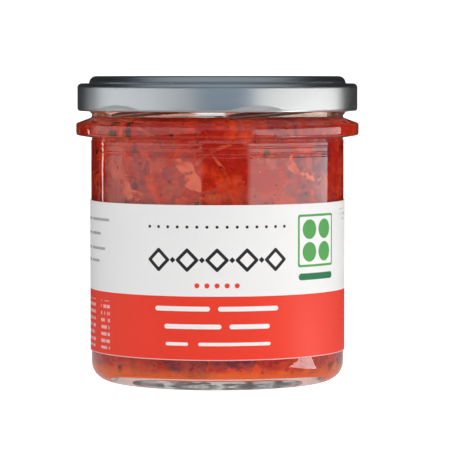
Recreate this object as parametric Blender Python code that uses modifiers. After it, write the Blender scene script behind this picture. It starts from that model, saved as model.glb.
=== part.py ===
"""A jar of kimchi: a round glass jar with a stacking ring under its neck, a steel twist-off cap
held by six lugs, a paper label wrapped round the body, and the cut cabbage packed inside.

Metres, +Z up. The jar stands on Z = 0 about the Z axis, and the front of the label faces -Y.
"""

import math
import random

import bmesh
import bpy
from mathutils import Matrix, Vector, noise

MM = 0.001

# Facets round every turned piece: a multiple of 4, so the box is exact, and of 6, so the lugs are alike
SIDES = 48
LUGS = 6
AXIS_MERGE = 0.01 * MM

# Glass body
BODY_R = 39.0 * MM
BORE_R = 36.6 * MM
HEEL_R = 5.8 * MM
BORE_HEEL_R = 7.0 * MM
FLOOR_Z = 3.4 * MM
FOOT_IN_R = 30.6 * MM
PUSH_UP_R = 29.6 * MM
PUSH_UP_EDGE_Z = 0.65 * MM
PUSH_UP_Z = 1.3 * MM

# Stacking ring between the body and the neck
BODY_TOP_Z = 73.9 * MM
GROOVE_R = 38.6 * MM
GROOVE_Z = 74.9 * MM
RING_R = 43.6 * MM
RING_LOW_Z = 75.7 * MM
RING_LOW_ROUND = 0.8 * MM
RING_TOP_Z = 79.3 * MM
RING_TOP_ROUND = 0.7 * MM

# Swell of the bore behind the ring
SWELL_START_Z = 73.4 * MM
SWELL_R = 38.2 * MM
SWELL_LOW_Z = 76.3 * MM
SWELL_TOP_Z = 78.9 * MM
BORE_ROUND = 0.9 * MM

# Neck and sealing rim
NECK_R = 38.8 * MM
NECK_BORE_R = 36.1 * MM
NECK_BORE_Z = 81.5 * MM
NECK_Z = 81.1 * MM
NECK_ROUND = 0.5 * MM
RIM_Z = 92.6 * MM
RIM_ROUND = 0.9 * MM

# Threads: six right-hand starts, each a round ridge that sinks into the neck at both ends
THREAD_RIDGE_R = 0.7 * MM
THREAD_RISE_PER_DEGREE = 0.055 * MM
THREAD_START_DEGREES = 2
THREAD_SPAN_DEGREES = 78
THREAD_Z = 81.5 * MM
THREAD_POINTS = 10
THREAD_FADE = 0.16
THREAD_SINK = 0.95 * MM

# Steel cap
STEEL = 0.45 * MM
SKIRT_R = 43.2 * MM
CAP_LOW_Z = 83.1 * MM
SHOULDER_Z = 91.6 * MM
SHOULDER_ROUND = 1.3 * MM
CROWN_R = 39.6 * MM
CROWN_FOOT_Z = 91.5 * MM
CROWN_IN_R = 35.1 * MM
CAP_TOP_Z = 93.8 * MM
CROWN_ROUND = 2.2 * MM
CROWN_IN_ROUND = 0.6 * MM
PANEL_R = 33.8 * MM
PANEL_UNDER_R = 33.2 * MM
PANEL_Z = 92.55 * MM
PANEL_ROUND = 0.4 * MM
BUTTON_R = 11.0 * MM
BUTTON_TOP_R = 9.0 * MM
BUTTON_RISE = 0.35 * MM
SEAL_IN_R = 34.3 * MM
SEAL_Z = 92.95 * MM
SEAL_OUT_R = 38.3 * MM
SEAL_CORNER_Z = 92.2 * MM
CURL_IN_R = 41.4 * MM
CURL_TOP_Z = 84.4 * MM
CURL_JOIN_Z = 85.3 * MM
CURL_IN_ROUND = 0.7 * MM
CURL_ROUND = 0.8 * MM

# Lugs: tabs turned in from the curl, each with a dent in the skirt outside it
LUG_FIRST_DEGREES = 16
LUG_TIP_R = 39.4 * MM
LUG_ROOT_R = 42.3 * MM
LUG_WIDTH = 11.0 * MM
LUG_THICK = 0.9 * MM
LUG_Z = 83.85 * MM
DENT_DEPTH = 0.6 * MM
DENT_HALF_DEGREES = 12.0
DENT_TOP_Z = 85.0 * MM
DENT_STEEPNESS = 1.6

# Paper label
LABEL_LOW_Z = 9.5 * MM
LABEL_HIGH_Z = 55.7 * MM
LABEL_GAP = 0.15 * MM
PAPER = 0.2 * MM
SEAM_DEGREES = 9.0

# Packed kimchi: a core, with the pieces that press against the glass or lie on top joined to it
FILL_Z = 81.0 * MM
FILL_TOP_Z = 82.2 * MM
FILL_LOW_Z = 3.8 * MM
FLOOR_GAP = 0.3 * MM
PIECE_LOW_Z = 4.2 * MM
PRESSED_R = 36.2 * MM
NECK_PRESSED_R = 35.7 * MM
CORE_R = 34.9 * MM
CORE_SIDES = 28
CORE_ROWS = 11
CORE_RELIEF = 0.5 * MM
LUMPS_PER_METRE = 180

# How many of each kind press against the glass, and in millimetres their least and most length,
# least and most width, thickness, and most sideways bow
PIECE_KINDS = {
    "leaf": (26, (15.0, 23.0), (10.0, 15.0), 1.5, 0.0),
    "rib": (22, (13.0, 22.0), (5.0, 7.5), 2.4, 1.0),
    "shred": (26, (10.0, 20.0), (1.8, 2.6), 1.9, 2.0),
}
GOLDEN_DEGREES = 137.508
ROWS_LOW_Z = 5.8 * MM
ROWS_HIGH_Z = 80.0 * MM
TILTS = (0.0, 0.9, -0.9, 1.6)
TILT_SPREAD = 0.4
MOST_SINK = 0.5 * MM
STRIP_TAPER = 0.35
STRIP_CHAMFER = 0.72
LEAF_WAVE = 0.3 * MM
LEAF_ROUNDING = 0.25
LEAF_WAVE_TURNS = (2.6, 1.4)
TOP_PIECES = 10
TOP_SPREAD_R = 24 * MM
TOP_LIFT = 0.9 * MM
TOP_TILT = 0.12
SEED = 5

GLASS = ("clear_glass", (0.80, 0.87, 0.85, 1.0), 0.02, 0.0)
CAP_STEEL = ("satin_steel", (0.62, 0.66, 0.69, 1.0), 0.30, 1.0)
LABEL_PAPER = ("label_paper", (0.86, 0.86, 0.85, 1.0), 0.55, 0.0)
KIMCHI_RED = ("kimchi_red", (0.52, 0.07, 0.03, 1.0), 0.35, 0.0)


def clear_scene():
    for thing in list(bpy.data.objects):
        bpy.data.objects.remove(thing, do_unlink=True)


def make_collection(name):
    collection = bpy.data.collections.new(name)
    bpy.context.scene.collection.children.link(collection)
    return collection


def make_material(name, colour, roughness, metallic):
    material = bpy.data.materials.new(name)
    material.use_nodes = True
    shader = material.node_tree.nodes["Principled BSDF"]
    shader.inputs["Base Color"].default_value = colour
    shader.inputs["Roughness"].default_value = roughness
    shader.inputs["Metallic"].default_value = metallic
    material.diffuse_color = colour
    return material


def object_from(mesh_source, name, collection):
    """An object whose mesh is the given bmesh, which is freed."""
    mesh = bpy.data.meshes.new(name)
    mesh_source.to_mesh(mesh)
    mesh_source.free()
    thing = bpy.data.objects.new(name, mesh)
    collection.objects.link(thing)
    return thing


def finish(thing, finish_values):
    """Gives the piece its material and smooth shading between its sharp edges."""
    thing.data.materials.append(make_material(*finish_values))
    thing.data.shade_smooth()
    thing.data.set_sharp_from_angle(angle=math.radians(35))


def hide_helper(thing):
    thing.hide_render = True
    thing.display_type = "WIRE"


def settled(thing):
    """The piece with its modifiers worked into its mesh."""
    graph = bpy.context.evaluated_depsgraph_get()
    mesh = bpy.data.meshes.new_from_object(thing.evaluated_get(graph))
    thing.modifiers.clear()
    thing.data = mesh
    return thing


def arc_steps(rounding):
    """How many straight steps an arc of this radius takes."""
    if rounding < 1.0 * MM:
        return 1
    return 2 if rounding < 2.0 * MM else 4


def rounded(corners):
    """The points of an outline of (radius, height, corner rounding), with its corners as arcs."""
    points = []
    for i, (r, z, rounding) in enumerate(corners):
        here = Vector((r, z))
        if rounding == 0:
            points.append(here)
            continue
        steps = arc_steps(rounding)
        back = (Vector(corners[i - 1][:2]) - here).normalized()
        ahead = (Vector(corners[i + 1][:2]) - here).normalized()
        half = back.angle(ahead) / 2
        centre = here + (back + ahead).normalized() * rounding / math.sin(half)
        start = here + back * rounding / math.tan(half) - centre
        end = here + ahead * rounding / math.tan(half) - centre
        turn = start.angle_signed(end)
        for k in range(steps + 1):
            points.append(centre + Matrix.Rotation(-turn * k / steps, 2) @ start)
    return points


def turned(name, outline, collection, sides=SIDES, degrees=360.0):
    """A piece turned about Z from an outline whose outer side runs from top to bottom."""
    profile = bmesh.new()
    verts = [profile.verts.new((point.x, 0, point.y)) for point in outline]
    for a, b in zip(verts, verts[1:]):
        profile.edges.new((a, b))
    thing = object_from(profile, name, collection)
    screw = thing.modifiers.new("turn", "SCREW")
    screw.axis = "Z"
    screw.angle = math.radians(degrees)
    screw.steps = sides
    screw.render_steps = sides
    screw.use_merge_vertices = degrees == 360.0
    screw.merge_threshold = AXIS_MERGE
    return thing


def jar_outline():
    """From the middle of the inner floor, up the bore, over the rim, down the outside to the foot."""
    corners = [
        (0, FLOOR_Z, 0),
        (BORE_R, FLOOR_Z, BORE_HEEL_R),
        (BORE_R, SWELL_START_Z, BORE_ROUND),
        (SWELL_R, SWELL_LOW_Z, 0),
        (SWELL_R, SWELL_TOP_Z, 0),
        (NECK_BORE_R, NECK_BORE_Z, 0),
        (NECK_BORE_R, RIM_Z, RIM_ROUND),
        (NECK_R, RIM_Z, RIM_ROUND),
        (NECK_R, NECK_Z, NECK_ROUND),
        (RING_R, RING_TOP_Z, RING_TOP_ROUND),
        (RING_R, RING_LOW_Z, RING_LOW_ROUND),
        (GROOVE_R, GROOVE_Z, 0),
        (BODY_R, BODY_TOP_Z, 0),
        (BODY_R, 0, HEEL_R),
        (FOOT_IN_R, 0, 0),
        (PUSH_UP_R, PUSH_UP_EDGE_Z, 0),
        (0, PUSH_UP_Z, 0),
    ]
    return rounded(corners)


def thread_ridge(name, start_degrees, collection):
    """One thread start: a round bar along the helix, sunk into the neck at both ends."""
    curve = bpy.data.curves.new(name, "CURVE")
    curve.dimensions = "3D"
    curve.bevel_depth = THREAD_RIDGE_R
    curve.bevel_resolution = 1
    curve.use_fill_caps = True
    path = curve.splines.new("POLY")
    path.points.add(THREAD_POINTS - 1)
    for i, point in enumerate(path.points):
        along = i / (THREAD_POINTS - 1)
        degrees = along * THREAD_SPAN_DEGREES
        angle = math.radians(start_degrees + degrees - 90)
        fade = min(1.0, along / THREAD_FADE, (1 - along) / THREAD_FADE)
        radius = NECK_R - (1 - fade) * THREAD_SINK
        height = THREAD_Z + degrees * THREAD_RISE_PER_DEGREE
        point.co = (radius * math.cos(angle), radius * math.sin(angle), height, 1)
    bar = bpy.data.objects.new(name, curve)
    collection.objects.link(bar)
    bpy.context.view_layer.update()
    graph = bpy.context.evaluated_depsgraph_get()
    mesh = bpy.data.meshes.new_from_object(bar.evaluated_get(graph))
    caps = bmesh.new()
    caps.from_mesh(mesh)
    bmesh.ops.remove_doubles(caps, verts=caps.verts, dist=AXIS_MERGE)
    bmesh.ops.recalc_face_normals(caps, faces=caps.faces)
    bpy.data.objects.remove(bar, do_unlink=True)
    ridge = object_from(caps, name, collection)
    hide_helper(ridge)
    return ridge


def make_jar(collection, helpers):
    jar = turned("jar", jar_outline(), collection)
    ridges = bpy.data.collections.new("thread_ridges")
    helpers.children.link(ridges)
    for k in range(LUGS):
        thread_ridge(f"thread_{k + 1}", THREAD_START_DEGREES + k * 360 / LUGS, ridges)
    threads = jar.modifiers.new("threads", "BOOLEAN")
    threads.operation = "UNION"
    threads.operand_type = "COLLECTION"
    threads.collection = ridges
    threads.solver = "EXACT"
    finish(jar, GLASS)
    return jar


def cap_outline():
    """From the middle of the underside, down inside the skirt, round the curl, up and over the top."""
    corners = [
        (0, PANEL_Z - STEEL, 0),
        (PANEL_UNDER_R, PANEL_Z - STEEL, 0),
        (SEAL_IN_R, SEAL_Z, 0),
        (SEAL_OUT_R, SEAL_Z, 0),
        (CROWN_R - STEEL, SEAL_CORNER_Z, 0),
        (CROWN_R - STEEL, SHOULDER_Z - STEEL, 0),
        (SKIRT_R - STEEL, SHOULDER_Z - STEEL, 0),
        (SKIRT_R - STEEL, CURL_JOIN_Z, 0),
        (CURL_IN_R, CURL_TOP_Z, 0),
        (CURL_IN_R, CAP_LOW_Z, CURL_IN_ROUND),
        (SKIRT_R, CAP_LOW_Z, CURL_ROUND),
        (SKIRT_R, DENT_TOP_Z, 0),
        (SKIRT_R, SHOULDER_Z, SHOULDER_ROUND),
        (CROWN_R, CROWN_FOOT_Z, 0),
        (CROWN_R, CAP_TOP_Z, CROWN_ROUND),
        (CROWN_IN_R, CAP_TOP_Z, CROWN_IN_ROUND),
        (PANEL_R, PANEL_Z, PANEL_ROUND),
        (BUTTON_R, PANEL_Z, 0),
        (BUTTON_TOP_R, PANEL_Z + BUTTON_RISE, 0),
        (0, PANEL_Z + BUTTON_RISE, 0),
    ]
    return rounded(corners)[::-1]


def dent_depth(angle, height):
    """How far the skirt is pressed in by the nearest lug, at an angle round the cap and a height."""
    pitch = math.radians(360 / LUGS)
    first = math.radians(LUG_FIRST_DEGREES - 90)
    offset = (angle - first + pitch / 2) % pitch - pitch / 2
    across = abs(offset) / math.radians(DENT_HALF_DEGREES)
    up = (DENT_TOP_Z - height) / (DENT_TOP_Z - CAP_LOW_Z)
    if across >= 1 or up <= 0:
        return 0.0
    return DENT_DEPTH * math.cos(across * math.pi / 2) ** 2 * min(1.0, DENT_STEEPNESS * up)


def lug(name, degrees, collection):
    """A flat tab that follows the slope of the threads."""
    tab = bmesh.new()
    bmesh.ops.create_cube(tab, size=1.0)
    size = Matrix.Diagonal((LUG_WIDTH, LUG_ROOT_R - LUG_TIP_R, LUG_THICK, 1))
    slope = math.atan(THREAD_RISE_PER_DEGREE / (math.radians(1) * NECK_R))
    place = (
        Matrix.Rotation(math.radians(degrees), 4, "Z")
        @ Matrix.Translation((0, -(LUG_ROOT_R + LUG_TIP_R) / 2, LUG_Z))
        @ Matrix.Rotation(-slope, 4, "Y")
    )
    bmesh.ops.transform(tab, matrix=place @ size, verts=tab.verts)
    piece = object_from(tab, name, collection)
    hide_helper(piece)
    return piece


def make_cap(collection, helpers):
    cap = settled(turned("lid", cap_outline(), collection))
    for vert in cap.data.vertices:
        radius = math.hypot(vert.co.x, vert.co.y)
        if radius < LUG_TIP_R:
            continue
        depth = dent_depth(math.atan2(vert.co.y, vert.co.x), vert.co.z)
        vert.co.x *= 1 - depth / radius
        vert.co.y *= 1 - depth / radius
    tabs = bpy.data.collections.new("lug_tabs")
    helpers.children.link(tabs)
    for k in range(LUGS):
        lug(f"lug_{k + 1}", LUG_FIRST_DEGREES + k * 360 / LUGS, tabs)
    lugs = cap.modifiers.new("lugs", "BOOLEAN")
    lugs.operation = "UNION"
    lugs.operand_type = "COLLECTION"
    lugs.collection = tabs
    lugs.solver = "EXACT"
    finish(cap, CAP_STEEL)
    return cap


def make_label(collection):
    """A paper sleeve whose two ends stop short of each other at the back."""
    wrap_degrees = 360.0 - SEAM_DEGREES
    edge_r = BODY_R + LABEL_GAP + PAPER
    outline = [Vector((edge_r, LABEL_HIGH_Z)), Vector((edge_r, LABEL_LOW_Z))]
    label = turned("label", outline, collection, degrees=wrap_degrees)
    sheet = label.modifiers.new("paper", "SOLIDIFY")
    sheet.thickness = PAPER
    sheet.offset = -1
    label.rotation_euler.z = math.radians(90 + SEAM_DEGREES / 2)
    finish(label, LABEL_PAPER)
    return label


def fill_radius(height):
    """How far out the filling may reach at this height, just clear of the bore."""
    if height > SWELL_TOP_Z:
        return NECK_PRESSED_R
    heel_rise = max(0.0, height - FLOOR_Z - FLOOR_GAP)
    if heel_rise >= BORE_HEEL_R:
        return PRESSED_R
    return PRESSED_R - BORE_HEEL_R + math.sqrt(BORE_HEEL_R**2 - (BORE_HEEL_R - heel_rise) ** 2)


def make_core(collection):
    """The packed middle, a little uneven round its side."""
    core = bmesh.new()
    bmesh.ops.create_cone(
        core, cap_ends=True, segments=CORE_SIDES, radius1=CORE_R, radius2=CORE_R, depth=1.0
    )
    uprights = [edge for edge in core.edges if edge.verts[0].co.z * edge.verts[1].co.z < 0]
    bmesh.ops.subdivide_edges(core, edges=uprights, cuts=CORE_ROWS - 1)
    for vert in core.verts:
        level = vert.co.z + 0.5
        height = FILL_LOW_Z + level * (FILL_Z - FILL_LOW_Z)
        lump = noise.noise(Vector((vert.co.x, vert.co.y, height)) * LUMPS_PER_METRE)
        radius = fill_radius(height) - (PRESSED_R - CORE_R) + lump * CORE_RELIEF
        angle = math.atan2(vert.co.y, vert.co.x)
        vert.co = (radius * math.cos(angle), radius * math.sin(angle), height)
    return object_from(core, "kimchi", collection)


def strip(length, width, thick, bow):
    """A cut strip, narrower at its ends and bowed sideways, with its outer face at Z = 0."""
    piece = bmesh.new()
    bmesh.ops.create_cube(piece, size=1.0)
    long_edges = [edge for edge in piece.edges if edge.verts[0].co.x * edge.verts[1].co.x < 0]
    bmesh.ops.subdivide_edges(piece, edges=long_edges, cuts=2)
    for vert in piece.verts:
        swell = 1 - (2 * vert.co.x) ** 2
        chamfer = STRIP_CHAMFER if vert.co.z > 0 else 1.0
        vert.co = (
            vert.co.x * length,
            vert.co.y * width * chamfer * (1 - STRIP_TAPER * (1 - swell)) + bow * swell,
            (vert.co.z - 0.5) * thick,
        )
    return piece


def leaf(length, width, thick, phase):
    """A scrap of leaf: a thin wavy sheet whose two faces are alike, lying just below Z = 0."""
    piece = bmesh.new()
    bmesh.ops.create_grid(piece, x_segments=4, y_segments=3, size=0.5)
    for vert in piece.verts:
        u = 2 * vert.co.x
        v = 2 * vert.co.y
        wave = math.sin(phase + LEAF_WAVE_TURNS[0] * u + LEAF_WAVE_TURNS[1] * v)
        vert.co.x = length * vert.co.x * (1 - LEAF_ROUNDING * v * v)
        vert.co.y = width * vert.co.y * (1 - LEAF_ROUNDING * u * u)
        vert.co.z = LEAF_WAVE * (wave - 1)
    bmesh.ops.triangulate(piece, faces=list(piece.faces))
    copied = bmesh.ops.duplicate(piece, geom=list(piece.verts) + list(piece.faces))["geom"]
    for vert in (part for part in copied if isinstance(part, bmesh.types.BMVert)):
        vert.co.z -= thick
    rim = [edge for edge in piece.edges if edge.is_boundary]
    bmesh.ops.bridge_loops(piece, edges=rim)
    bmesh.ops.recalc_face_normals(piece, faces=list(piece.faces))
    return piece


def random_piece(kind, rng):
    """A scrap of leaf, a thick rib of the stalk, or a thin shred, at its true size."""
    count, lengths, widths, thick, most_bow = PIECE_KINDS[kind]
    length = rng.uniform(*lengths) * MM
    width = rng.uniform(*widths) * MM
    if kind == "leaf":
        return leaf(length, width, thick * MM, phase=rng.uniform(0, math.tau))
    return strip(length, width, thick * MM, bow=rng.uniform(-most_bow, most_bow) * MM)


def pressed(piece, degrees, height, tilt, sink):
    """Bends a flat piece (X along it, Z outwards) against the bore, sunk in a little, at this place."""
    turn = Matrix.Rotation(tilt, 2)
    for vert in piece.verts:
        along, up = turn @ vert.co.xy
        level = min(max(height + up, PIECE_LOW_Z), FILL_TOP_Z)
        radius = fill_radius(level) + vert.co.z - sink
        angle = math.radians(degrees - 90) + along / PRESSED_R
        vert.co = (radius * math.cos(angle), radius * math.sin(angle), level)
    return piece


def heaped(piece, degrees, radius, turn, tilt):
    """Lays a flat piece on top of the filling, half sunk in it."""
    place = (
        Matrix.Rotation(math.radians(degrees), 4, "Z")
        @ Matrix.Translation((radius, 0, FILL_Z + TOP_LIFT))
        @ Matrix.Rotation(tilt, 4, "X")
        @ Matrix.Rotation(turn, 4, "Z")
    )
    bmesh.ops.transform(piece, matrix=place, verts=piece.verts)
    return piece


def shells_of(mesh_source):
    """The faces in groups that hang together by edges of two faces."""
    seen = set()
    shells = []
    for start in mesh_source.faces:
        if start in seen:
            continue
        seen.add(start)
        shell = [start]
        for face in shell:
            joined = [edge.link_faces for edge in face.edges if len(edge.link_faces) == 2]
            for near in (other for pair in joined for other in pair if other not in seen):
                seen.add(near)
                shell.append(near)
        shells.append(shell)
    return shells


def fill_sealed_hollows(thing):
    """Leaves only the outer one of the mesh's shells, so that a hollow sealed by joining is solid."""
    mesh_source = bmesh.new()
    mesh_source.from_mesh(thing.data)
    bmesh.ops.triangulate(mesh_source, faces=list(mesh_source.faces))
    shells = shells_of(mesh_source)
    outer = max(shells, key=len)
    others = [face for shell in shells if shell is not outer for face in shell]
    bmesh.ops.delete(mesh_source, geom=others, context="FACES")
    mesh_source.to_mesh(thing.data)
    mesh_source.free()


def make_kimchi(collection, helpers):
    """The packed core with the pieces that show at the glass and on top joined to it."""
    rng = random.Random(SEED)
    kimchi = make_core(collection)
    pieces = bpy.data.collections.new("pieces")
    helpers.children.link(pieces)
    for kind, sizes in PIECE_KINDS.items():
        count = sizes[0]
        first_degrees = rng.uniform(0, 360)
        for k in range(count):
            degrees = first_degrees + k * GOLDEN_DEGREES
            height = ROWS_LOW_Z + (k + 0.5) / count * (ROWS_HIGH_Z - ROWS_LOW_Z)
            tilt = rng.choice(TILTS) + rng.uniform(-TILT_SPREAD, TILT_SPREAD)
            sink = rng.uniform(0, MOST_SINK)
            piece = pressed(random_piece(kind, rng), degrees, height, tilt, sink)
            object_from(piece, f"{kind}_{k + 1}", pieces)
    for k in range(TOP_PIECES):
        radius = TOP_SPREAD_R * math.sqrt((k + 0.5) / TOP_PIECES)
        piece = random_piece(rng.choice(list(PIECE_KINDS)), rng)
        turn = rng.uniform(0, math.tau)
        tilt = rng.uniform(-TOP_TILT, TOP_TILT)
        object_from(heaped(piece, k * GOLDEN_DEGREES, radius, turn, tilt), f"top_{k + 1}", pieces)
    joined = kimchi.modifiers.new("join pieces", "BOOLEAN")
    joined.operation = "UNION"
    joined.operand_type = "COLLECTION"
    joined.collection = pieces
    joined.solver = "EXACT"
    settled(kimchi)
    fill_sealed_hollows(kimchi)
    for thing in list(pieces.objects):
        bpy.data.objects.remove(thing, do_unlink=True)
    bpy.data.collections.remove(pieces)
    finish(kimchi, KIMCHI_RED)


def main():
    clear_scene()
    parts = make_collection("kimchi_jar")
    helpers = make_collection("helpers")
    make_jar(parts, helpers)
    make_cap(parts, helpers)
    make_label(parts)
    make_kimchi(parts, helpers)


main()
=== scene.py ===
# %% [markdown]
# # A jar of kimchi
# This lesson dresses a small glass jar of kimchi. The CAD solids give every size and place, and this script
# gives each of them the finish of the real thing: clear glass, a satin steel cap, a paper sleeve and the
# packed cabbage. Each new piece takes the place of one solid and keeps its form.

import math
import random

import bpy
from mathutils import Matrix, Vector, kdtree, noise


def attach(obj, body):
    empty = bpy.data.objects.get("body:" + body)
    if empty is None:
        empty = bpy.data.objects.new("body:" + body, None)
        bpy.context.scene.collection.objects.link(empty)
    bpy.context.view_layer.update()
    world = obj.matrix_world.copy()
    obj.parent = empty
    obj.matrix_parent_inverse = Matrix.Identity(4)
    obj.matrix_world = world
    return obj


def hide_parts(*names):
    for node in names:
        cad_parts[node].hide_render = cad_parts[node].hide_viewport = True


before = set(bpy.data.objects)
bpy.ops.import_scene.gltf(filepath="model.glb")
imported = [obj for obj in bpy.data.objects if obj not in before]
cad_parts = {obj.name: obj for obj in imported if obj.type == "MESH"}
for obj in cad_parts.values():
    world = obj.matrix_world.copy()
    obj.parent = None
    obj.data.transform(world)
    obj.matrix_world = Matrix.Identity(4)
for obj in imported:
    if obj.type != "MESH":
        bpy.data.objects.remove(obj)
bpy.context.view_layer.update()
MM = 0.001
print("nodes:", sorted(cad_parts))

# %% [markdown]
# Work in Blender starts from a clean slate. The loaded solids arrive selected, and an operator acts on all
# that is selected, so one helper deselects everything. A second one starts a piece as a single vertex, which
# is how a turned shape is drawn by hand: point by point, as its half outline.

# %% Helpers to start a piece
def deselect_all():
    if bpy.context.object and bpy.context.object.mode != "OBJECT":
        bpy.ops.object.mode_set(mode="OBJECT")
    bpy.ops.object.select_all(action="DESELECT")


def start_with_vertex(name, x, z):
    deselect_all()
    bpy.ops.mesh.primitive_plane_add(size=MM)
    piece = bpy.context.object
    piece.name = name
    piece.data.name = name
    bpy.ops.object.mode_set(mode="EDIT")
    bpy.ops.mesh.select_all(action="SELECT")
    bpy.ops.mesh.merge(type="CENTER")
    bpy.ops.transform.translate(value=(x, 0, z))
    return piece


# %% [markdown]
# Real glass and rolled steel have no knife edges. An outline is therefore written as corners, each with its
# own rounding, and a helper lays a small arc in every corner. The alternative, a bevel on the finished
# shape, would round corners that have to stay crisp, such as the paper's edge.

# %% Outlines with rounded corners
ARC_STEPS = 7


def rounded(corners, steps=ARC_STEPS):
    """Points of an outline of (radius, height, rounding) corners, with an arc in each rounded one."""
    points = []
    for i, (r, z, rounding) in enumerate(corners):
        here = Vector((r, z))
        if rounding == 0:
            points.append(here)
            continue
        back = (Vector(corners[i - 1][:2]) - here).normalized()
        ahead = (Vector(corners[i + 1][:2]) - here).normalized()
        half = back.angle(ahead) / 2
        centre = here + (back + ahead).normalized() * rounding / math.sin(half)
        first = here + back * rounding / math.tan(half) - centre
        last = here + ahead * rounding / math.tan(half) - centre
        turn = first.angle_signed(last)
        for k in range(steps + 1):
            points.append(centre + Matrix.Rotation(-turn * k / steps, 2) @ first)
    return points


def with_rows(points, low, high, spacing):
    """The outline with extra points where it runs between two heights, for relief to be drawn in them."""
    filled = [points[0]]
    for a, b in zip(points, points[1:]):
        inside = min(a.y, b.y) < high and max(a.y, b.y) > low
        cuts = max(1, math.ceil((b - a).length / spacing)) if inside else 1
        filled += [a.lerp(b, k / cuts) for k in range(1, cuts + 1)]
    return filled


# %% [markdown]
# A jar and its cap are both round, so each is turned: the outline is extruded vertex by vertex, then spun
# about the Z axis. Spin leaves doubled vertices at the seam and on the axis, so they are merged, and the
# normals are made to point outwards afterwards.

# %% Turn an outline into a piece
SPIN_STEPS = 240
WELD = 0.002 * MM


def turned(name, points, steps=SPIN_STEPS, degrees=360.0):
    piece = start_with_vertex(name, points[0].x, points[0].y)
    for a, b in zip(points, points[1:]):
        move = (b.x - a.x, 0, b.y - a.y)
        bpy.ops.mesh.extrude_region_move(TRANSFORM_OT_translate={"value": move})
    bpy.ops.mesh.select_all(action="SELECT")
    bpy.ops.mesh.spin(steps=steps, angle=math.radians(degrees), center=(0, 0, 0), axis=(0, 0, 1))
    bpy.ops.mesh.select_all(action="SELECT")
    bpy.ops.mesh.remove_doubles(threshold=WELD)
    bpy.ops.mesh.normals_make_consistent(inside=False)
    bpy.ops.object.mode_set(mode="OBJECT")
    return piece


def smooth(piece, degrees=35):
    deselect_all()
    piece.select_set(True)
    bpy.context.view_layer.objects.active = piece
    bpy.ops.object.shade_smooth_by_angle(angle=math.radians(degrees))


def report(piece):
    piece.data.calc_loop_triangles()
    print(piece.name, "has", len(piece.data.loop_triangles), "triangles")


# %% [markdown]
# The jar is one piece of clear glass: a body with a thick floor and a pushed-up foot, a groove and a heavy
# stacking ring below the neck, and the sealing rim under the cap. Inside, the bore swells behind the ring.
# All sizes are the solid's own. Three faint dips under the ring are the lines that a mould leaves.

# %% The jar's outline
BODY_R = 39.0 * MM
BORE_R = 36.6 * MM
FLOOR_Z = 3.4 * MM
BORE_HEEL_R = 7.0 * MM
SWELL_START_Z = 73.4 * MM
SWELL_R = 38.2 * MM
SWELL_LOW_Z = 76.3 * MM
SWELL_TOP_Z = 78.9 * MM
NECK_R = 38.8 * MM
NECK_BORE_R = 36.1 * MM
NECK_BORE_Z = 81.5 * MM
NECK_Z = 81.1 * MM
RIM_Z = 92.6 * MM
RING_R = 43.6 * MM

MOULD_LINES_Z = (72.7 * MM, 70.9 * MM, 69.9 * MM)
MOULD_LINE_DEPTH = 0.07 * MM
mould_corners = []
for middle in MOULD_LINES_Z:
    for above, depth in ((0.45, 0), (0.3, 0), (0, MOULD_LINE_DEPTH), (-0.3, 0), (-0.45, 0)):
        mould_corners.append((BODY_R - depth, middle + above * MM, 0))

jar_corners = [
    (0, FLOOR_Z, 0),
    (BORE_R, FLOOR_Z, BORE_HEEL_R),
    (BORE_R, SWELL_START_Z, 0.9 * MM),
    (SWELL_R, SWELL_LOW_Z, 0.5 * MM),
    (SWELL_R, SWELL_TOP_Z, 0.5 * MM),
    (NECK_BORE_R, NECK_BORE_Z, 0.5 * MM),
    (NECK_BORE_R, RIM_Z, 0.9 * MM),
    (NECK_R, RIM_Z, 0.9 * MM),
    (NECK_R, NECK_Z, 0.5 * MM),
    (RING_R, 79.3 * MM, 0.7 * MM),
    (RING_R, 75.7 * MM, 0.8 * MM),
    (38.6 * MM, 74.9 * MM, 0.25 * MM),
    (BODY_R, 73.9 * MM, 0.4 * MM),
    *mould_corners,
    (BODY_R, 0, 5.8 * MM),
    (30.6 * MM, 0, 0),
    (29.6 * MM, 0.65 * MM, 0.3 * MM),
    (0, 1.3 * MM, 0),
]
THREAD_ROWS_LOW = 81.2 * MM
THREAD_ROWS_HIGH = 88.2 * MM
THREAD_ROW_GAP = 0.22 * MM
BODY_ROWS_LOW = 6 * MM
BODY_ROW_GAP = 3 * MM
jar_points = with_rows(rounded(jar_corners), THREAD_ROWS_LOW, THREAD_ROWS_HIGH, THREAD_ROW_GAP)
jar_points = with_rows(jar_points, BODY_ROWS_LOW, SWELL_START_Z, BODY_ROW_GAP)
glass_jar = turned("glass_jar", jar_points)
report(glass_jar)

# %% [markdown]
# The cap twists on to six short threads, which stand out of the neck as low round ridges and climb to the
# right. They could be swept bars joined to the neck, but here the neck has close rows of vertices, so each
# vertex is simply pushed out to the ridge's round section. That keeps one clean skin of glass.

# %% Threads on the neck
LUGS = 6
THREAD_RIDGE_R = 0.7 * MM
THREAD_RISE = 0.055 * MM
THREAD_START = 2
THREAD_SPAN = 78
THREAD_Z = 81.5 * MM
THREAD_FADE = 0.16
THREAD_SINK = 0.95 * MM
NECK_MARGIN = 0.05 * MM


def front_degrees(point):
    """The angle round the jar, from 0 at the front and growing to the right."""
    return math.degrees(math.atan2(point.y, point.x)) + 90


def ridge_height(point):
    along = (front_degrees(point) - THREAD_START) % (360 / LUGS)
    highest = 0.0
    for degrees in (along, along + 360 / LUGS):
        if degrees > THREAD_SPAN:
            continue
        share = degrees / THREAD_SPAN
        fade = min(1.0, share / THREAD_FADE, (1 - share) / THREAD_FADE)
        above = point.z - THREAD_Z - degrees * THREAD_RISE
        if abs(above) < THREAD_RIDGE_R:
            swell = math.sqrt(THREAD_RIDGE_R**2 - above**2) - (1 - fade) * THREAD_SINK
            highest = max(highest, swell)
    return highest


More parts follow.
